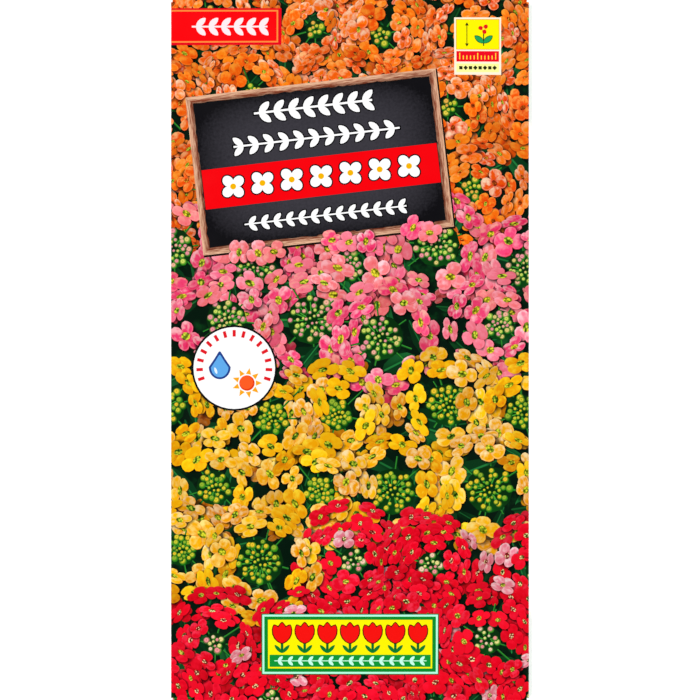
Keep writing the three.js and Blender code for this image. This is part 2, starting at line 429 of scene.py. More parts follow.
def leaning(outline, colour, foot, lean, length, width, rim=0):
    """An outline that reaches 1 each way, made to stand on its foot at a lean, and wider by a rim."""
    facing = turned(lean)
    form = facing @ np.diag([length, width])
    form = form + form / np.linalg.norm(form, axis=0) * rim
    flat(outline, colour, foot + facing @ (length, 0), form)


def leaf_pair(foot, spread, length, width, *looks):
    """Two leaves, this far to each side of upright, in each look's colour and with its rim."""
    for side in (-1, 1):
        for colour, rim in looks:
            leaning(LABEL_LEAF, colour, foot, math.pi / 2 - side * spread, length, width, rim)


def layers_of(colour, edge):
    """A colour on its own, or over a wider copy in the edge's colour."""
    return [(edge, EDGE_WIDTH)] * (edge is not None) + [(colour, 0)]


def sprig(start, end, pairs, size, colour, edge=None):
    """A straight stem with leaves in pairs, over a wider copy of itself in the edge's colour."""
    way = np.asarray(end) - start
    angle = math.atan2(way[1], way[0])
    for ink, rim in layers_of(colour, edge):
        leaning(box(-1, -1, 1, 1), ink, start, angle, np.hypot(*way) / 2, 0.07 * size, rim)
        for k in range(pairs):
            root = start + way * (k + 0.35) / pairs
            for lean in (angle - 0.75, angle + 0.75):
                leaning(LABEL_LEAF, ink, root, lean, size / 2, 0.24 * size, rim)


def blossom(centre, reach, petals, colour, heart, edge=None):
    """Petals that start a little way out from the centre, under a round heart."""
    for ink, rim in layers_of(colour, edge):
        for k in range(petals):
            lean = math.pi / 4 + k * 2 * math.pi / petals
            foot = centre + turned(lean) @ (0.1 * reach, 0)
            leaning(LABEL_PETAL, ink, foot, lean, 0.44 * reach, 0.38 * reach, rim)
    flat(LABEL_PETAL, heart, centre, PLAIN * 0.22 * reach)


# The red strip bleeds off the left fold
STRIP = (PRINT_LEFT, 69.4, -15.6, 77.8)
flat(box(*STRIP), "E3001A")
flat(box(STRIP[0], STRIP[1] + 0.55, STRIP[2] - 0.75, STRIP[3] - 0.4), "FF8A3C")
flat(box(STRIP[0], STRIP[1] + 0.9, STRIP[2] - 1.1, STRIP[3] - 0.75), "F8040C")
sprig(np.array([-36, 73.6]), np.array([-18.8, 73.6]), 6, 2.9, "FFE9EC")

# The small badge: a sprout beside an arrow for its height, over a ruler and a row of squares
flat(box(23.7, 62.6, 34.4, 75.7), "FFF0D8")
flat(box(24.1, 68.35, 34.0, 75.3), "E8A020")
flat(box(24.25, 68.5, 33.85, 75.15), "FFF200")
flat(box(24.2, 65.6, 33.9, 68.0), "EC0820")
flat(box(24.2, 63.2, 33.9, 65.15), "FFFB9C")
flat(box(-0.12, -2.0, 0.12, 1.4), "17401C", (30.4, 71.2))
leaf_pair(np.array([30.4, 69.9]), 0.9, 1.25, 0.55, ("17401C", 0.14), ("22A05A", 0))
blossom(np.array([30.4, 73.1]), 1.25, 3, "E01C1C", "FFE63C")
flat(box(-0.1, -2.2, 0.1, 2.2), "6A6A10", (26.6, 71.8))
for side in (-1, 1):
    flat(TRIANGLE, "3A3A10", (26.6, 71.8 + side * 2.3), turned(side * math.pi / 2) * 0.5)
for k in range(11):
    tall = 0.75 if k % 5 == 0 else 0.45
    flat(box(-0.11, -tall, 0.11, tall), "FFE23C", (24.95 + k * 0.82, 66.1 + tall))
for k in range(8):
    flat(box(-0.38, -0.38, 0.38, 0.38), "23270F", (25.2 + k * 1.1, 64.2), turned(math.pi / 4 * (k % 2)))

# The slate has a frame of four mitred planks with a ragged inner edge, and a red band across it
BOARD_CENTRE = np.array([-6.95, 42.75])
BOARD_TURN = math.radians(6.6)
BOARD_HALF = np.array([28.65, 18.1])
PLANK = 1.65
BAND_LOW, BAND_HIGH = -7.8, 1.2


def on_board(x, y):
    return BOARD_CENTRE + turned(BOARD_TURN) @ (x, y)


board_shadow = turned(BOARD_TURN) @ np.diag(BOARD_HALF + 0.15)
flat(box(-1, -1, 1, 1), "1C0F0A", BOARD_CENTRE + (0.25, -0.3), board_shadow)
for k in range(4):
    long_half = BOARD_HALF[k % 2]
    plank = [(-long_half, 0), (PLANK - long_half, -PLANK), (long_half - PLANK, -PLANK), (long_half, 0)]
    facing = turned(BOARD_TURN + k * math.pi / 2)
    outer_side = BOARD_CENTRE + facing @ (0, BOARD_HALF[1 - k % 2])
    lay(plank, "wood", linear("863E26"), linear("E8B896"), outer_side, facing)
slate_half = BOARD_HALF - PLANK
corners = box(-1, -1, 1, 1) * slate_half
ragged = []
for k in range(4):
    start, end = corners[k], corners[(k + 1) % 4]
    for share in np.arange(0, 1, 1.1 / np.hypot(*(end - start))):
        ragged.append(start + (end - start) * share + np.array([rng.gauss(0, 0.15), rng.gauss(0, 0.15)]))
board_form = turned(BOARD_TURN) @ np.diag(slate_half)
lay(np.array(ragged) / slate_half, "slate", linear("0E0D11"), linear("3A383F"), BOARD_CENTRE, board_form)
band = box(-slate_half[0] + 0.1, BAND_LOW, slate_half[0] - 0.1, BAND_HIGH)
flat(band, "F2000A", BOARD_CENTRE, turned(BOARD_TURN))
sprig(on_board(-13.5, 12.6), on_board(13.5, 12.6), 8, 3.4, "FFFFFF", edge="060608")
sprig(on_board(19, 5.6), on_board(-19, 5.6), 11, 3.0, "FFFFFF", edge="060608")
sprig(on_board(-18.5, -12.2), on_board(18.5, -12.2), 13, 2.4, "FFFFFF", edge="060608")
for k in range(7):
    blossom(on_board((k - 3) * 6.7, (BAND_LOW + BAND_HIGH) / 2), 3.1, 4, "FFFFFF", "F2B400", edge="1A0406")
for x in (-20.5, -16.2, -12.6, 0.8, 4.6, 8.4, 19.4, 23.0):
    place = on_board(x, rng.uniform(-19.6, -17.2))
    floret(place, rng.uniform(2.9, 3.3), "pink", rng.uniform(0, 6.3), rng.uniform(0.8, 1), 1.0)

# The round badge: a drop and a sun inside a ring of ticks
BADGE = np.array([-26.3, -4.1])
flat(DISC, "0A0A0C", BADGE, PLAIN * 9.75)
flat(DISC, "FDFDFC", BADGE, PLAIN * 9.3)
for k in range(15):
    facing = turned(math.radians(-18 + k * 216 / 14))
    flat(box(-1, -1, 1, 1), "E01824", BADGE + facing @ (7.9, 0), facing @ np.diag([0.75, 0.36]))
sun = BADGE + (2.9, -3.4)
for k in range(9):
    facing = turned(k * 2 * math.pi / 9)
    flat(TRIANGLE, "F7A81C", sun + facing @ (2.5, 0), facing @ np.diag([0.95, 0.72]))
flat(DISC, "E03A10", sun, PLAIN * 1.75)
flat(DISC, "FF5A20", sun + (-0.12, 0.15), PLAIN * 1.5)
along, across = ring(28).T
towards_tip = np.maximum(along, 0)
drop = np.stack([along * 1.1 + 0.35 * towards_tip**3, across * (1 - 0.62 * towards_tip)], -1)
flat(drop, "1F3F8A", BADGE + (-3.3, 0.2), turned(math.pi / 2) * 2.5)
flat(drop, "5FA8E8", BADGE + (-3.3, 0.1), turned(math.pi / 2) * 2.0)
flat(LABEL_LEAF, "E4F2FF", BADGE + (-4.2, -0.6), turned(1.9) @ np.diag([0.8, 0.3]))

# The plate at the foot: red tulips on yellow, over a mint sprig on green
PLATE = np.array([-20.15, -73.9, 20.2, -59.9])
for inset, colour in ((0, "0A5A2A"), (0.22, "B4FFE0"), (0.68, "078A2C")):
    flat(box(*(PLATE + np.array([1, 1, -1, -1]) * inset)), colour)
flat(box(-18.65, -72.45, 18.7, -61.3), "FFF200")
flat(box(-18.3, -72.1, 18.35, -69.3), "0B9436")
sprig(np.array([-17.2, -70.7]), np.array([17.4, -70.7]), 15, 1.5, "C8FFE8")
for k in range(7):
    foot = np.array([(k - 3) * 5.15, -68.9])
    flat(box(-0.3, 0, 0.3, 2.6), "0B6A2A", foot)
    leaf_pair(foot, 0.75, 1.25, 0.42, ("0B7A2E", 0))
    for ink, rim in (("3A0A08", 0.25), ("F4100C", 0)):
        for lean, reach in ((1.99, 2.2), (1.15, 2.2), (math.pi / 2, 2.3)):
            leaning(LABEL_LEAF, ink, foot + (0, 2.3), lean, reach, 1.05, rim)

# The back's print
# The plain white back carries a cut-out flower head, ruled lines, three round signs for sun, water and
# sowing, and a row of twelve boxes for the months, between two green bands.
BACK_MIDDLE = (PRINT_RIGHT + BACK_EDGE) / 2
BACK_HALF = (BACK_EDGE - PRINT_RIGHT) / 2
LEAF_GREEN = "2C8C40"
BAND_GOLD = "F2C21C"
SUN_GOLD = "F2B01C"
RULE_GREY = "A9AFA4"


def on_back(x, y):
    return np.array([BACK_MIDDLE + x, y])


for low, high, colour in (
    (51.5, TUBE_END, LEAF_GREEN),
    (-TUBE_END, -60.5, LEAF_GREEN),
    (50.6, 51.1, BAND_GOLD),
    (-60.1, -59.6, BAND_GOLD),
):
    flat(box(-BACK_HALF, low, BACK_HALF + 1, high), colour, on_back(0, 0))
sprig(on_back(-34, 57.4), on_back(33, 57.4), 17, 3.2, "EAF7DE")
for _ in range(7):
    place = on_back(-22, 32) + turned(rng.uniform(0, 6.3)) @ (8, 0)
    leaf(place, rng.uniform(9, 13), 3.4, rng.uniform(0, 6.3), 1.0)
flower_head(on_back(-22, 32), 9.4, "pink")
for k in range(7):
    flat(box(0, -0.32, rng.uniform(33, 38), 0.32), RULE_GREY, on_back(-2, 44 - k * 4))
sun_sign, water_sign, sowing_sign = (on_back(x, 8) for x in (-24, 0, 24))


def sign_disc(centre):
    flat(DISC, LEAF_GREEN, centre, PLAIN * 6)
    flat(DISC, "F4FAEC", centre, PLAIN * 5.4)


sign_disc(sun_sign)
for k in range(8):
    facing = turned(k * math.pi / 4)
    flat(TRIANGLE, SUN_GOLD, sun_sign + facing @ (3.4, 0), facing @ np.diag([0.9, 0.6]))
flat(DISC, SUN_GOLD, sun_sign, PLAIN * 2.3)
sign_disc(water_sign)
flat(drop, "2F78C8", water_sign + (0, -0.8), turned(math.pi / 2) * 2.4)
sign_disc(sowing_sign)
flat(box(-0.3, -3.4, 0.3, 0.4), LEAF_GREEN, sowing_sign)
flat(box(-3.6, -4.0, 3.6, -3.2), "7A5230", sowing_sign)
leaf_pair(sowing_sign, 0.8, 1.9, 0.8, (LEAF_GREEN, 0))
for k in range(12):
    colour = "8CCB6A" if 2 <= k <= 4 else "F0B83C" if 5 <= k <= 9 else "E6EADF"
    flat(box(-2.7, -2.6, 2.7, 2.6), colour, on_back((k - 5.5) * 5.9, -7))
for k in range(9):
    length = rng.uniform(60, 70) if k % 4 != 3 else rng.uniform(24, 44)
    flat(box(0, -0.32, length, 0.32), RULE_GREY, on_back(-35, -16 - k * 4.4))

# The flat map
# The stack becomes one map of triangles that don't overlap, each a part of the topmost shape there. It is
# cut along a grid too, so that it can fold and swell as paper does.
WELD = 2e-3
STRAIGHT = 2e-3
FRONT_STEP = 5.0
BACK_STEP = 8.0
FOLD_STEPS = 6


def planar(points, edges):
    """Triangles between the points, none of them across an edge."""
    found = delaunay_2d_cdt([Vector(point) for point in points], edges, [], 0, WELD, False)
    return np.array([tuple(v) for v in found[0]]), np.array(found[2])


def edge_pairs(faces):
    return np.concatenate([faces[:, [0, 1]], faces[:, [1, 2]], faces[:, [2, 0]]])


points = []
edges = []
for shape in shapes:
    first = len(points)
    points.extend(shape["points"].tolist())
    edges.extend((k, k + 1) for k in range(first, len(points) - 1))
    edges.append((len(points) - 1, first))
stack_verts, stack_faces = planar(points, edges)

# The faces are sorted into rows of small cells, so that each outline finds its own quickly
CELL = 2.0
ROW = 1000
middles = stack_verts[stack_faces].mean(1)
keys = np.floor(middles / CELL) @ (1, ROW)
by_cell = np.argsort(keys, kind="stable")
keys = keys[by_cell]


def faces_in(outline):
    """The faces whose middle lies inside the outline, with an odd number of its edges to one side."""
    low = np.floor(outline.min(0) / CELL)
    high = np.floor(outline.max(0) / CELL)
    rows = np.arange(low[1], high[1] + 1) * ROW
    starts = np.searchsorted(keys, rows + low[0])
    ends = np.searchsorted(keys, rows + high[0] + 1)
    near = np.concatenate([by_cell[start:end] for start, end in zip(starts, ends)])
    x, y = middles[near].T[:, :, None]
    x1, y1 = outline.T
    x2, y2 = np.roll(outline, -1, 0).T
    rises = (y1 > y) != (y2 > y)
    crossed = rises & ((x - x1) * np.abs(y2 - y1) < (x2 - x1) * (y - y1) * np.sign(y2 - y1))
    return near[crossed.sum(1) % 2 == 1]


# A face's look is the last shape printed on it, and the shadows that fell there after it
looks = [(0, ())]
stack_look = np.zeros(len(stack_faces), int)
for number, shape in enumerate(shapes):
    inside = faces_in(shape["points"])
    if number in shadows:
        before = stack_look[inside]
        for old in np.unique(before):
            looks.append((looks[old][0], (*looks[old][1], number)))
            stack_look[inside[before == old]] = len(looks) - 1
    else:
        looks.append((number, ()))
        stack_look[inside] = len(looks) - 1

# Only edges between different looks are kept, and points in the middle of a straight edge go
pairs = np.sort(edge_pairs(stack_faces), axis=1)
beside = np.tile(stack_look, 3)
sorting = np.lexsort((pairs[:, 1], pairs[:, 0]))
pairs = pairs[sorting]
beside = beside[sorting]
shared = np.flatnonzero(np.all(pairs[1:] == pairs[:-1], axis=1))
neighbours = defaultdict(set)
for a, b in pairs[shared][beside[shared] != beside[shared + 1]].tolist():
    neighbours[a].add(b)
    neighbours[b].add(a)
for at in list(neighbours):
    if len(neighbours[at]) != 2:
        continue
    a, b = neighbours[at]
    one = stack_verts[at] - stack_verts[a]
    two = stack_verts[b] - stack_verts[at]
    bend = abs(one[0] * two[1] - one[1] * two[0])
    if bend < STRAIGHT * np.hypot(*one) * np.hypot(*two) and b not in neighbours[a]:
        for end, other in ((a, b), (b, a)):
            neighbours[end].discard(at)
            neighbours[end].add(other)
        del neighbours[at]


def steps(start, end, step):
    return np.linspace(start, end, max(1, round(abs(end - start) / step)) + 1)


def unique(*parts):
    values = np.sort(np.concatenate(parts))
    return values[np.concatenate([[True], np.diff(values) > 1e-6])]


def grid_lines():
    """The lines along which the sheet bends, from edge to edge of each of its panels."""
    tab_us = unique(np.linspace(TAB_FOLD, LEFT, FOLD_STEPS + 1), steps(TAB_EDGE, TAB_FOLD, BACK_STEP))
    back_us = unique(np.linspace(RIGHT, BACK_FOLD, FOLD_STEPS + 1), steps(BACK_FOLD, BACK_EDGE, BACK_STEP))
    end_folds = np.linspace(TOP, TOP_FOLD, FOLD_STEPS + 3)
    head_vs = unique([TUBE_END], end_folds, steps(TOP_FOLD, TOP_EDGE, BACK_STEP))
    foot_vs = -unique([TUBE_END], end_folds, steps(TOP_FOLD, -BOTTOM_EDGE, BACK_STEP))
    lines = [((u, BOTTOM_EDGE), (u, TOP_EDGE)) for u in steps(LEFT, RIGHT, FRONT_STEP)]
    lines += [((u, -TUBE_END), (u, TUBE_END)) for u in (*tab_us, *back_us)]
    front_vs = steps(-TUBE_END, TUBE_END, FRONT_STEP)
    lines += [((LEFT, v), (RIGHT, v)) for v in (*front_vs, *head_vs, *foot_vs)]
    for v in steps(-TUBE_END, TUBE_END, BACK_STEP):
        lines += [((TAB_EDGE, v), (LEFT, v)), ((RIGHT, v), (BACK_EDGE, v))]
    return lines


def on_paper(at):
    u, v = at[:, 0], at[:, 1]
    column = (u > LEFT) & (u < RIGHT) & (v > BOTTOM_EDGE) & (v < TOP_EDGE)
    return column | ((u > TAB_EDGE) & (u < BACK_EDGE) & (np.abs(v) < TUBE_END))


def sheet_map(points, edges):
    """The flat sheet's points and its triangles, all turned face up."""
    points = list(points)
    edges = list(edges)
    for start, end in grid_lines() + [(CUT[k - 1], corner) for k, corner in enumerate(CUT)]:
        edges.append((len(points), len(points) + 1))
        points.extend([start, end])
    verts, faces = planar(points, edges)
    faces = faces[on_paper(verts[faces].mean(1))]
    a, b, c = (verts[faces[:, k]] for k in range(3))
    one, two = b - a, c - a
    down = one[:, 0] * two[:, 1] < one[:, 1] * two[:, 0]
    faces[down] = faces[down][:, ::-1]
    return verts, faces


kept_number = {at: k for k, at in enumerate(neighbours)}
seen = [(kept_number[a], kept_number[b]) for a in neighbours for b in neighbours[a] if a < b]
outer_verts, outer_faces = sheet_map(stack_verts[list(neighbours)].tolist(), seen)
stack = BVHTree.FromPolygons(np.insert(stack_verts, 2, 0, 1).tolist(), stack_faces.tolist())
downwards = Vector((0, 0, -1))
hits = [stack.ray_cast(Vector((*at, 1)), downwards)[2] for at in outer_verts[outer_faces].mean(1)]
face_look = stack_look[[hit or 0 for hit in hits]]

# The paper
# The map is folded twice, as the sheet's printed outer skin and, from a plain map with the same rim, as
# its bare inner skin below. A strip round the cut edges joins the two.
halves = set(map(tuple, edge_pairs(outer_faces).tolist()))
rim = sorted((a, b) for a, b in halves if (b, a) not in halves)
rim_points = sorted({a for a, _ in rim})
rim_number = {at: k for k, at in enumerate(rim_points)}
rim_edges = [(rim_number[a], rim_number[b]) for a, b in rim]
inner_verts, inner_faces = sheet_map(outer_verts[rim_points].tolist(), rim_edges)


def used(verts, faces, start):
    """Only the points that the faces use, and the faces renumbered from the start."""
    kept = np.unique(faces)
    numbers = np.zeros(len(verts), int)
    numbers[kept] = np.arange(len(kept)) + start
    return verts[kept], numbers[faces], numbers


outer_at, outer_tris, outer_numbers = used(outer_verts, outer_faces, 0)
inner_at, inner_tris, _ = used(inner_verts, inner_faces, len(outer_at))
gaps = np.linalg.norm(outer_verts[rim_points][:, None] - inner_at, axis=2)
below = dict(zip(rim_points, len(outer_at) + gaps.argmin(1)))
rim_tris = []
for a, b in rim:
    outer_a, outer_b = outer_numbers[[a, b]]
    both = (outer_b, outer_a, below[a]), (outer_b, below[a], below[b])
    rim_tris += [tri for tri in both if len(set(tri)) == 3]
faces = np.concatenate([outer_tris, inner_tris[:, ::-1], rim_tris])
normals = np.concatenate([normals_at(*outer_at.T), -normals_at(*inner_at.T)])
corners = folded(*np.concatenate([outer_at, inner_at]).T) + normals * PAPER / 2
n_outer = len(outer_tris)
n_skins = n_outer + len(inner_tris)

mesh = bpy.data.meshes.new("printed_envelope")
mesh.from_pydata((corners * MM).tolist(), [], faces.tolist())
smooth = normals[faces]
sides = corners[faces[n_skins:]]
smooth[n_skins:] = np.cross(sides[:, 1] - sides[:, 0], sides[:, 2] - sides[:, 0])[:, None]
smooth /= np.maximum(np.linalg.norm(smooth, axis=2, keepdims=True), 1e-12)
mesh.polygons.foreach_set("use_smooth", np.ones(len(faces), bool))
mesh.normals_split_custom_set(smooth.reshape(-1, 3).tolist())

# What the inks read: where a corner lies in its shape, its colours, the light, the shade and the creases
tops = np.array([looks[k][0] for k in face_look])
skin_at = outer_verts[outer_faces]


def of_shapes(key, numbers=tops):
    return np.array([shape[key] for shape in shapes])[numbers]


def in_shape(numbers, at):
    offsets = at - of_shapes("centre", numbers)[:, None]
    return np.einsum("fij,fcj->fci", of_shapes("inverse", numbers), offsets)


def shade_at(at):
    """How dark the shadows above each face make its corners."""
    faces_under = np.array([k for k, look in enumerate(face_look) for _ in looks[look][1]], int)
    over = np.array([i for look in face_look for i in looks[look][1]], int)
    numbers = {i: k for k, i in enumerate(shadows)}
    which = np.array([numbers[i] for i in over])[:, None]
    inner, outer = (np.array([shadow[k] for shadow in shadows.values()]) for k in (0, 1))
    local = in_shape(over, at[faces_under])
    turn = (np.arctan2(local[..., 1], local[..., 0]) / (2 * math.pi) % 1) * SHADOW_POINTS
    low = np.floor(turn).astype(int) % SHADOW_POINTS
    high = (low + 1) % SHADOW_POINTS
    part = turn - np.floor(turn)
    starts = inner[which, low] * (1 - part) + inner[which, high] * part
    ends = outer[which, low] * (1 - part) + outer[which, high] * part
    dark = np.clip((ends - np.hypot(local[..., 0], local[..., 1])) / (ends - starts), 0, 1) * SHADOW_STRENGTH
    light = np.ones(at.shape[:2])
    np.multiply.at(light, faces_under, 1 - dark)
    return 1 - light


def set_layer(name, kind, domain, values, rest=0.0):
    """Writes values for the printed faces or their corners, and the rest's value for all others."""
    field = {"FLOAT_VECTOR": "vector", "FLOAT_COLOR": "color", "FLOAT": "value"}[kind]
    values = np.asarray(values, np.float32)
    full = np.full((len(faces) * (3 if domain == "CORNER" else 1), *values.shape[1:]), rest, np.float32)
    full[: len(values)] = values
    mesh.attributes.new(name, kind, domain).data.foreach_set(field, full.ravel())


CREASE_REACH = 0.7
u, v = skin_at[..., 0], skin_at[..., 1]
side_middle = np.where(u > 0, (RIGHT + BACK_FOLD) / 2, (TAB_FOLD + LEFT) / 2)
from_fold = np.where(np.abs(v) < TUBE_END, np.abs(u - side_middle), 9)
from_fold = np.minimum(from_fold, np.abs(np.abs(v) - (TOP + TOP_FOLD) / 2))
set_layer("crease", "FLOAT", "CORNER", np.clip(1 - from_fold / CREASE_REACH, 0, 1).ravel())
set_layer("shade", "FLOAT", "CORNER", shade_at(skin_at).ravel())
set_layer("spot", "FLOAT_VECTOR", "CORNER", np.insert(in_shape(tops, skin_at).reshape(-1, 2), 2, 0, 1))
set_layer("light", "FLOAT_VECTOR", "FACE", np.insert(of_shapes("light"), 2, of_shapes("seed"), 1))
for name in ("main", "second"):
    set_layer("ink_" + name, "FLOAT_COLOR", "FACE", np.insert(of_shapes(name), 3, 1, 1), 1.0)

# One map for the finish: the flat sheet, with the inner skin drawn small in the free corner that the top
# flap leaves above the back
MAP_SIDE = TOP_EDGE - BOTTOM_EDGE + 2
INNER_SHARE = 0.08
INNER_START = (BACK_FOLD + 4, TUBE_END + 3)
cut_low = np.array([TAB_EDGE, BOTTOM_EDGE])
flat_at = np.concatenate([outer_at, inner_at])[faces] - cut_low
uv = (flat_at + 1) / MAP_SIDE
uv[n_outer:n_skins] = (flat_at[n_outer:n_skins] * INNER_SHARE + (INNER_START - cut_low)) / MAP_SIDE
mesh.uv_layers.new(name="OFBake").data.foreach_set("uv", uv.astype(np.float32).ravel())

# The inks
# Each is a process-colour offset print under a water-based satin varnish, on wood-free paper coated with
# clay: bright from straight above, and glossy only at low angles. Flecks of bare coating line the folds.
FIBRE = 0.15
FLECK = 0.5
FLECK_PALENESS = 0.7
MOTTLE = 6.0
SATIN = 0.3
VARNISH_GLARE = 0.17

# The setting that a node of this kind is mostly made with
MODES = {
    "Math": "operation",
    "VectorMath": "operation",
    "MapRange": "interpolation_type",
    "Mix": "data_type",
}


def feed(target, inputs):
    """Sets or links a node's inputs, which are given by name, or else in their order."""
    if isinstance(inputs, tuple):
        ready = [k for k, socket in enumerate(target.inputs) if socket.enabled]
        inputs = dict(zip(ready, inputs))
    for key, value in inputs.items():
        if isinstance(value, bpy.types.NodeSocket):
            target.id_data.links.new(value, target.inputs[key])
        else:
            target.inputs[key].default_value = value


def add(tree, kind, inputs=(), mode=None, out=0, **settings):
    """Adds a node with its settings and inputs, and gives one of the outputs that these leave it."""
    added = tree.nodes.new(kind if "Node" in kind else "ShaderNode" + kind)
    if mode:
        settings[MODES[kind]] = mode
    for name, value in settings.items():
        setattr(added, name, value)
    feed(added, inputs)
    ready = [socket for socket in added.outputs if socket.enabled]
    return added.outputs[out] if isinstance(out, str) else ready[out]


def own_place(node, spot, light, apart=30):
    """The spot, set apart in depth by the shape's own seed, so that no two shapes show the same pattern."""
    seed = node("SeparateXYZ", (light,), out=2)
    depth = node("CombineXYZ", (0, 0, seed))
    return node("VectorMath", (depth, (0, 0, apart), spot), "MULTIPLY_ADD")


def petal_ink(node, spot, main, second, light):
    """A cupped petal: deep on the side turned from the light, with a pale rim, veins and a dark throat."""
    x = node("SeparateXYZ", (spot,))
    y = node("SeparateXYZ", (spot,), out=1)
    base = node("Math", (x, 0.0), "MINIMUM")
    along = node("Math", (base, -PETAL_BASE / (1 + PETAL_BASE), x), "MULTIPLY_ADD")
    wide = node("Math", (base, PETAL_WAIST / (1 + PETAL_BASE), 1.0), "MULTIPLY_ADD")
    across = node("Math", (y, wide), "DIVIDE")
    disc = node("CombineXYZ", (along, across))
    away = node("VectorMath", (disc,), "LENGTH")
    level = node("VectorMath", (light, (1, 1, 0)), "MULTIPLY")
    lit = node("VectorMath", (disc, level), "DOT_PRODUCT")
    place = own_place(node, spot, light, 40)
    blotch = node("TexNoise", {"Vector": place, "Scale": 1.2, "Detail": 1.5})
    drawn = node("VectorMath", (place, (0.8, 7.0, 1.0)), "MULTIPLY")
    vein = node("TexNoise", {"Vector": drawn, "Scale": 1.0, "Detail": 2.0})
    tone = node("Math", (lit, 0.3, -0.5), "MULTIPLY_ADD")
    tone = node("Math", (blotch, 1.7, tone), "MULTIPLY_ADD")
    tone = node("Math", (vein, 0.45, tone), "MULTIPLY_ADD", use_clamp=True)
    deep = node("Mix", (0.75, main, main), "RGBA", blend_type="MULTIPLY")
    dusk = node("MapRange", (tone, 0.0, 0.3, 0.8, 0.0))
    colour = node("Mix", (dusk, main, deep), "RGBA")
    dawn = node("MapRange", (tone, 0.48, 1.0))
    colour = node("Mix", (dawn, colour, second), "RGBA")
    rim = node("MapRange", (away, 0.7, 0.86, 0, 0.32), "SMOOTHSTEP")
    colour = node("Mix", (rim, colour, second), "RGBA")
    edge = node("MapRange", (away, 0.84, 0.98), "SMOOTHSTEP")
    turned_off = node("Math", (lit, -0.55, 0.6), "MULTIPLY_ADD", use_clamp=True)
    edge = node("Math", (edge, turned_off), "MULTIPLY")
    colour = node("Mix", (edge, colour, deep), "RGBA")
    throat = node("MapRange", (x, -0.4, -1.15, 0, 0.9), "SMOOTHSTEP")
    return node("Mix", (throat, colour, deep), "RGBA")


def bud_ink(node, spot, main, second, light):
    """A green bud whose closed petals show as a paler pitted tip, off its middle towards the light."""
    shift = node("VectorMath", (light, (0.28, 0.28, 0)), "MULTIPLY")
    off = node("VectorMath", (spot, shift), "SUBTRACT")
    away = node("VectorMath", (off,), "LENGTH")
    green = node("Mix", (0.35, main, second), "RGBA")
    ring_in = node("MapRange", (away, 0.95, 0.6), "SMOOTHSTEP")
    colour = node("Mix", (ring_in, main, green), "RGBA")
    tip = node("MapRange", (away, 0.6, 0.42), "SMOOTHSTEP")
    colour = node("Mix", (tip, colour, second), "RGBA")
    pit = node("MapRange", (away, 0.26, 0.12, 0, 0.4), "SMOOTHSTEP")
    colour = node("Mix", (pit, colour, main), "RGBA")
    outside = node("VectorMath", (spot,), "LENGTH")
    shade = node("MapRange", (outside, 0.75, 1.0, 1.0, 0.3))
    return node("VectorMath", (colour, shade), "SCALE")


def eye_ink(node, spot, main, second, light):
    """Yellow anthers stand unevenly round a green middle, with dark gaps between them."""
    place = own_place(node, spot, light)
    cell = node("TexVoronoi", {"Vector": place, "Scale": 1.6})
    anther = node("MapRange", (cell, 0.55, 0.3), "SMOOTHSTEP")
    hollow = node("MapRange", (cell, 0.62, 0.78), "SMOOTHSTEP")
    gap = node("Mix", (1.0, second, second), "RGBA", blend_type="MULTIPLY")
    colour = node("Mix", (hollow, second, gap), "RGBA")
    return node("Mix", (anther, colour, main), "RGBA")


def leaf_ink(node, spot, main, second, light):
    """A leaf with a pale midrib, and one half that catches the light."""
    x = node("SeparateXYZ", (spot,))
    y = node("SeparateXYZ", (spot,), out=1)
    side = node("Math", (y,), "ABSOLUTE")
    rib = node("MapRange", (side, 0.14, 0.04, 0, 0.8), "SMOOTHSTEP")
    lit = node("MapRange", (y, -0.1, 0.5, 0, 0.5), "SMOOTHSTEP")
    tip = node("MapRange", (x, -1.0, 0.9))
    lit = node("Math", (lit, tip), "MULTIPLY")
    both = node("Math", (rib, lit), "MAXIMUM")
    return node("Mix", (both, main, second), "RGBA")


def stem_ink(node, spot, main, second, light):
    """A round stalk, pale along the side turned to the light."""
    y = node("SeparateXYZ", (spot,), out=1)
    lit = node("MapRange", (y, -0.8, 0.5), "SMOOTHSTEP")
    return node("Mix", (lit, main, second), "RGBA")


def ground_ink(node, spot, main, second, light):
    """Foliage far behind, out of focus."""
    blotch = node("TexNoise", {"Vector": spot, "Scale": 0.3, "Detail": 3.0})
    tone = node("MapRange", (blotch, 0.5, 0.8), "SMOOTHSTEP")
    return node("Mix", (tone, main, second), "RGBA")


def wood_ink(node, spot, main, second, light):
    """A sawn plank: long grain, a painted highlight along its outer edge and a shaded inner one."""
    y = node("SeparateXYZ", (spot,), out=1)
    place = own_place(node, spot, light)
    drawn = node("VectorMath", (place, (0.35, 4.5, 1.0)), "MULTIPLY")
    grain = node("TexNoise", {"Vector": drawn, "Scale": 1.0, "Detail": 4.0, "Roughness": 0.65})
    # Paler towards the outer edge: a painted highlight, as where light catches the plank's bevel
    edge = node("MapRange", (y, -1.3, -0.1, -0.35, 0.35))
    tone = node("Math", (grain, 3.4, -1.2), "MULTIPLY_ADD")
    tone = node("Math", (tone, edge), "ADD", use_clamp=True)
    colour = node("Mix", (tone, main, second), "RGBA")
    shade = node("MapRange", (y, -PLANK, -PLANK * 0.6, 0.45, 1.0))
    return node("VectorMath", (colour, shade), "SCALE")


def slate_ink(node, spot, main, second, light):
    """Smooth dark slate with a dusty tooth, and darker towards its frame."""
    side = node("VectorMath", (spot,), "ABSOLUTE")
    side = node("VectorMath", (side, side), "MULTIPLY")
    near_edge = node("VectorMath", (side, side), "DOT_PRODUCT")
    place = node("VectorMath", (spot, (*slate_half, 1.0)), "MULTIPLY")
    dust = node("TexNoise", {"Vector": place, "Scale": 1.6, "Detail": 5.0, "Roughness": 0.7})
    tone = node("Math", (near_edge, -0.9, 0.45), "MULTIPLY_ADD")
    tone = node("Math", (dust, 1.1, tone), "MULTIPLY_ADD", use_clamp=True)
    return node("Mix", (tone, main, second), "RGBA")


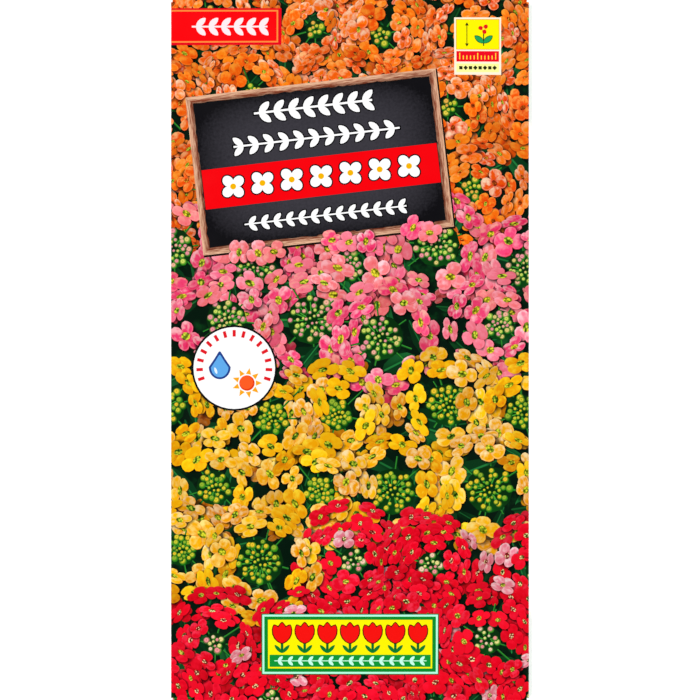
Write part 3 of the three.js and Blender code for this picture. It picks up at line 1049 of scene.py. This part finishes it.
def new_material(name):
    """An empty material, its shader and what adds a node to it."""
    material = bpy.data.materials.new(name)
    material.use_nodes = True
    tree = material.node_tree
    return material, tree.nodes["Principled BSDF"], partial(add, tree)


def coated_paper(name, ink=None):
    """The coated sheet with one ink on it, in its own flat colour where no ink function is given."""
    material, shader, node = new_material(name)
    colour = node("Attribute", out="Color", attribute_name="ink_main")
    if ink:
        spot = node("Attribute", out="Vector", attribute_name="spot")
        second = node("Attribute", out="Color", attribute_name="ink_second")
        light = node("Attribute", out="Vector", attribute_name="light")
        shade = node("Attribute", out="Fac", attribute_name="shade")
        kept = node("Math", (1.0, shade), "SUBTRACT")
        colour = ink(node, spot, colour, second, light)
        colour = node("VectorMath", (colour, kept), "SCALE")
    place = node("TexCoord", out="Object")
    crease = node("Attribute", out="Fac", attribute_name="crease")
    flecks = node("TexNoise", {"Vector": place, "Scale": 1 / (FLECK * MM), "Detail": 3.0})
    worn = node("Math", (crease, 0.42, flecks), "MULTIPLY_ADD")
    worn = node("MapRange", (worn, 0.98, 1.08, 0, FLECK_PALENESS))
    colour = node("Mix", (worn, colour, (*linear("F2EFE8"), 1)), "RGBA")
    mottle = node("TexNoise", {"Vector": place, "Scale": 1 / (MOTTLE * MM), "Detail": 2.0})
    gloss = node("MapRange", (mottle, 0.3, 0.7, SATIN - 0.03, SATIN + 0.05))
    gloss = node("Math", (worn, 0.4, gloss), "MULTIPLY_ADD")
    fibre = node("TexNoise", {"Vector": place, "Scale": 1 / (FIBRE * MM), "Detail": 2.0})
    relief = node("Bump", {"Height": fibre, "Strength": 0.25, "Distance": 0.02 * MM})
    feed(shader, {"Base Color": colour, "Roughness": gloss, "Normal": relief})
    feed(shader, {"IOR": 1.5, "Specular IOR Level": VARNISH_GLARE})
    return material


def two_tone(name, deep, pale, mottle, roughness, relief, net=None, stretch=(1, 1, 1)):
    """A material mottled in two tones. Its relief is the mottle's, or that of a finer net."""
    material, shader, node = new_material(name)
    place = node("TexCoord", out="Object")
    drawn = node("VectorMath", (place, stretch), "MULTIPLY")
    size, detail = mottle
    cloud = node("TexNoise", {"Vector": drawn, "Scale": 1 / (size * MM), "Detail": detail})
    tone = node("MapRange", (cloud, 0.35, 0.65))
    colour = node("Mix", (tone, (*linear(deep), 1), (*linear(pale), 1)), "RGBA")
    height = cloud
    if net:
        height = node("TexVoronoi", {"Vector": place, "Scale": 1 / (net * MM)})
    strength, depth = relief
    bump = node("Bump", {"Height": height, "Strength": strength, "Distance": depth * MM})
    feed(shader, {"Base Color": colour, "Roughness": roughness, "Normal": bump})
    return material


INKS = {
    "ground": ground_ink,
    "leaf": leaf_ink,
    "stem": stem_ink,
    "petal": petal_ink,
    "bud": bud_ink,
    "eye": eye_ink,
    "wood": wood_ink,
    "slate": slate_ink,
    "solid": None,
}
ink_names = list(INKS)
for name, ink in INKS.items():
    mesh.materials.append(coated_paper("printed_paper_" + name, ink))

# The sheet's inner side and its cut edges are uncoated: matt, off-white and faintly fibrous
bare_paper = two_tone("uncoated_paper", "E6E2D7", "F4F1E9", (1.2, 5), 0.85, (0.4, 0.03), stretch=(1, 3, 1))
mesh.materials.append(bare_paper)
slots = np.full(len(faces), len(INKS))
slots[:n_outer] = [ink_names.index(shapes[top]["ink"]) for top in tops]
mesh.polygons.foreach_set("material_index", slots)
mesh.update()


def new_object(name, data):
    made = bpy.data.objects.new(name, data)
    bpy.context.scene.collection.objects.link(made)
    return made


envelope = new_object("printed_envelope", mesh)
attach(envelope, "root")
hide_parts("paper_envelope")

# The sachet
# Two webs of thin heat-seal paper, joined by a crimped rim. The upper one is raised by what is inside.
# Each is drawn as a grid whose level is worked out from its place, and then given its thickness.
CRIMP_PITCH = 1.2
CRIMP_DEPTH = 0.03
SACHET_SEAL = 6.0
SWELL_ACROSS = 4.0
SWELL_ALONG = 20.0
SOCKETS = {float: "NodeSocketFloat", int: "NodeSocketInt", tuple: "NodeSocketVector"}


def new_group(name, defaults):
    """A Geometry Nodes group with an input for each size, and one for the material, which has no default."""
    tree = bpy.data.node_groups.new(name, "GeometryNodeTree")
    for side in ("INPUT", "OUTPUT"):
        tree.interface.new_socket("Geometry", in_out=side, socket_type="NodeSocketGeometry")
    for label, default in defaults.items():
        kind = SOCKETS.get(type(default), "NodeSocketMaterial")
        socket = tree.interface.new_socket(label, in_out="INPUT", socket_type=kind)
        if default is not None:
            socket.default_value = default
    return tree, partial(add, tree), tree.nodes.new("NodeGroupInput").outputs


def web_tree():
    """Level = base + puff x swell across x swell along + crimps where the rim is sealed."""
    sizes = {"Width": 0.056, "Height": 0.086, "Middle": (0, 0, 0), "Seal": 0.006, "Puff": 0.0}
    crimps = {"Crimp pitch": 0.0012, "Crimp depth": 0.00003}
    tree, node, given = new_group("sachet_web", {**sizes, **crimps, "Film": None})
    counts = {"Vertices X": 71, "Vertices Y": 289}
    grid = node("GeometryNodeMeshGrid", {"Size X": given["Width"], "Size Y": given["Height"], **counts})
    place = node("GeometryNodeInputPosition")
    level = 1.0
    sealed = 0.0
    for axis, size, power in ((0, "Width", SWELL_ACROSS), (1, "Height", SWELL_ALONG)):
        along = node("SeparateXYZ", (place,), out=axis)
        inside = node("Math", (given[size], 0.5), "MULTIPLY")
        inside = node("Math", (inside, given["Seal"]), "SUBTRACT")
        share = node("Math", (along, inside), "DIVIDE")
        share = node("Math", (share,), "ABSOLUTE")
        beyond = node("Math", (share, 1.0), "GREATER_THAN")
        share = node("Math", (share, 1.0), "MINIMUM")
        share = node("Math", (share, power), "POWER")
        share = node("Math", (1.0, share), "SUBTRACT")
        share = node("Math", (share, 2.0), "POWER")
        level = node("Math", (level, share), "MULTIPLY")
        sealed = node("Math", (sealed, beyond), "MAXIMUM")
    turn = node("Math", (along, given["Crimp pitch"]), "DIVIDE")
    turn = node("Math", (turn, 2 * math.pi), "MULTIPLY")
    wave = node("Math", (turn,), "SINE")
    wave = node("Math", (wave, sealed), "MULTIPLY")
    wave = node("Math", (wave, given["Crimp depth"]), "MULTIPLY")
    rise = node("Math", (level, given["Puff"], wave), "MULTIPLY_ADD")
    offset = node("CombineXYZ", (0, 0, rise))
    offset = node("VectorMath", (offset, given["Middle"]), "ADD")
    raised = node("GeometryNodeSetPosition", {"Geometry": grid, "Offset": offset})
    real = node("GeometryNodeRealizeInstances", (raised,))
    done = node("GeometryNodeSetMaterial", {"Geometry": real, "Material": given["Film"]})
    feed(tree.nodes.new("NodeGroupOutput"), (done,))
    return tree


def from_trees(name, stages, wall=None):
    """A plain mesh from Geometry Nodes trees, each with its inputs, and a wall's thickness if it has one."""
    source = new_object(name + "_source", bpy.data.meshes.new(name + "_source"))
    for tree, values in stages:
        modifier = source.modifiers.new(tree.name, "NODES")
        modifier.node_group = tree
        for socket in tree.interface.items_tree:
            if socket.name in values:
                modifier[socket.identifier] = values[socket.name]
    if wall:
        film_wall = source.modifiers.new("film", "SOLIDIFY")
        film_wall.thickness = wall
        film_wall.offset = 0
    graph = bpy.context.evaluated_depsgraph_get()
    result = bpy.data.meshes.new_from_object(source.evaluated_get(graph), depsgraph=graph)
    bpy.data.objects.remove(source)
    return new_object(name, result)


# Bleached kraft with a heat-seal lacquer: white, satin, and faintly see-through in patches
film = two_tone("heat_seal_paper", "E2DFD6", "F3F1EC", (2.5, 4), 0.45, (0.3, 0.04))
sachet_tree = web_tree()
back_low, back_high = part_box("sachet_back_web")
front_low, front_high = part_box("sachet_front_web")
film_thickness = back_high.z - back_low.z
sachet_middle = (back_low + back_high) / 2
for name, node_name, low, puff in (
    ("sachet_back", "sachet_back_web", back_low, 0.0),
    ("sachet_front", "sachet_front_web", front_low, front_high.z - front_low.z - film_thickness),
):
    web_values = {
        "Width": back_high.x - back_low.x,
        "Height": back_high.y - back_low.y,
        "Middle": (sachet_middle.x, sachet_middle.y, low.z + film_thickness / 2),
        "Seal": SACHET_SEAL * MM,
        "Puff": puff,
        "Crimp pitch": CRIMP_PITCH * MM,
        "Crimp depth": CRIMP_DEPTH * MM,
        "Film": film,
    }
    web = from_trees(name, [(sachet_tree, web_values)], film_thickness)
    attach(web, "root")
    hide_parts(node_name)

# The seeds
# Flat oval alyssum seeds with a thin paler wing round the edge. They lie in a heap two layers deep at
# the sachet's lower seal, each one turned and tipped by chance.
SEED_SIZE = (1.5, 1.2, 0.8)
SEED_WING = 0.08
SEED_SPACING = 0.95
LAYER_RISE = 0.48
LOWER_COLUMNS = 14
LOWER_ROWS = 6
FEWER_ABOVE = 3
heap_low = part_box("seeds")[0]


def seed_tree():
    """Adds one layer of the heap to what comes in: Columns x Rows seeds about the layer's middle."""
    counts = {"Columns": 14, "Rows": 6, "Seed": 1}
    sizes = {"Spacing": 0.00095, "Start": (0, 0, 0), "Size": (1, 1, 1)}
    tree, node, given = new_group("seed_layer", {**counts, **sizes, "Coat": None})
    count = node("Math", (given["Columns"], given["Rows"]), "MULTIPLY")
    index = node("GeometryNodeInputIndex")
    column = node("Math", (index, given["Columns"]), "MODULO")
    row = node("Math", (index, given["Columns"]), "DIVIDE")
    row = node("Math", (row,), "FLOOR")
    middle = node("Math", (given["Columns"], -0.5, 0.5), "MULTIPLY_ADD")
    column = node("Math", (column, middle), "ADD")
    place = node("CombineXYZ", (column, row))
    chances = []
    for most, low_turn, high_turn in ((0.1, -0.05, 0.05), (0.22, 0.0, 6.28)):
        limits = {0: (-most, -most, low_turn), 1: (most, most, high_turn), "Seed": given["Seed"]}
        chances.append(node("FunctionNodeRandomValue", limits, data_type="FLOAT_VECTOR"))
    stray, turn = chances
    place = node("VectorMath", (place, stray), "ADD")
    place = node("VectorMath", (place, given["Spacing"]), "SCALE")
    place = node("VectorMath", (place, given["Start"]), "ADD")
    spots = node("GeometryNodePoints", {"Count": count, "Position": place})
    body = node("GeometryNodeMeshUVSphere", {"Segments": 14, "Rings": 9, "Radius": 0.5})
    body_place = node("GeometryNodeInputPosition")
    level = node("SeparateXYZ", (body_place,), out=2)
    level = node("Math", (level,), "ABSOLUTE")
    flare = node("MapRange", (level, 0.0, 0.12, 1 + SEED_WING, 1.0))
    flare = node("CombineXYZ", (flare, flare, 1.0))
    winged = node("VectorMath", (body_place, flare), "MULTIPLY")
    body = node("GeometryNodeSetPosition", {"Geometry": body, "Position": winged})
    how = {"Rotation": turn, "Scale": given["Size"]}
    heap = node("GeometryNodeInstanceOnPoints", {"Points": spots, "Instance": body, **how})
    heap = node("GeometryNodeRealizeInstances", (heap,))
    heap = node("GeometryNodeSetMaterial", {"Geometry": heap, "Material": given["Coat"]})
    join = tree.nodes.new("GeometryNodeJoinGeometry")
    tree.links.new(heap, join.inputs[0])
    tree.links.new(given["Geometry"], join.inputs[0])
    feed(tree.nodes.new("NodeGroupOutput"), (join.outputs[0],))
    return tree


# A dry seed coat: matt orange-brown, paler here and there, and netted by its cells
coat = two_tone("seed_coat", "8A4E1E", "C98A45", (0.9, 3), 0.6, (0.5, 0.02), net=0.08)
layer_tree = seed_tree()
layers = []
for layer in range(2):
    lowest_row = heap_low.y + SEED_SIZE[0] / 2 * MM
    bed = heap_low.z + SEED_SIZE[2] / 2 * MM
    layer_values = {
        "Columns": LOWER_COLUMNS - FEWER_ABOVE * layer,
        "Rows": LOWER_ROWS - FEWER_ABOVE * layer,
        "Spacing": SEED_SPACING * MM,
        "Start": (0.0, lowest_row + layer * SEED_SPACING * MM, bed + layer * LAYER_RISE * MM),
        "Size": tuple(side * MM * (1 - SEED_WING) for side in SEED_SIZE),
        "Seed": 7 + layer,
        "Coat": coat,
    }
    layers.append((layer_tree, layer_values))
heap = from_trees("seed_heap", layers)
heap.data.polygons.foreach_set("use_smooth", np.ones(len(heap.data.polygons), bool))
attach(heap, "root")
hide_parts("seeds")

# The studio
# A white table that glows faintly of itself, a painted light that washes out the packet's shadow,
# under four wide soft lamps that are low enough to keep their reflections out of the camera. The camera
# looks straight down, and the packet's height fills its frame.
LENS = 200
SENSOR = 36
FRAMED = 0.996
LAMP_REACH = 0.9
LAMP_HEIGHT = 0.62
LAMP_SIZE = 0.5
LAMP_POWER = 5.5
KEY_LAMP = 1
KEY_SHARE = 1.25
SKY = 0.03
TABLE_GLOW = 0.35
WHITE = (1, 1, 1, 1)
bpy.ops.mesh.primitive_plane_add(size=3, location=(0, 0, -0.05 * MM))
table = bpy.context.object
table.name = "table"
table_white, table_shader, _ = new_material("table_white")
# The table's glow is painted light: it fills in the shade that the packet casts on it
glow = {"Emission Color": WHITE, "Emission Strength": TABLE_GLOW}
feed(table_shader, {"Base Color": (0.94, 0.94, 0.94, 1), "Roughness": 0.9, **glow})
table.data.materials.append(table_white)

for k in range(4):
    lamp_data = bpy.data.lights.new("softbox", "AREA")
    lamp_data.size = LAMP_SIZE
    lamp_data.energy = LAMP_POWER * (KEY_SHARE if k == KEY_LAMP else 1)
    lamp = new_object("softbox", lamp_data)
    lamp.location = (*(turned(math.radians(45 + 90 * k)) @ (LAMP_REACH, 0)), LAMP_HEIGHT)
    lamp.rotation_euler = (-lamp.location).to_track_quat("-Z", "Y").to_euler()
world = bpy.data.worlds.new("studio")
bpy.context.scene.world = world
world.use_nodes = True
feed(world.node_tree.nodes["Background"], {"Color": WHITE, "Strength": SKY})
bpy.context.scene.view_settings.view_transform = "Standard"

camera_data = bpy.data.cameras.new("camera")
camera_data.lens = LENS
camera_data.sensor_width = SENSOR
camera = new_object("camera", camera_data)
camera.location = (0, 0, (EDGE_LEVEL + PACKET_HEIGHT * FRAMED * LENS / SENSOR) * MM)
bpy.context.scene.camera = camera
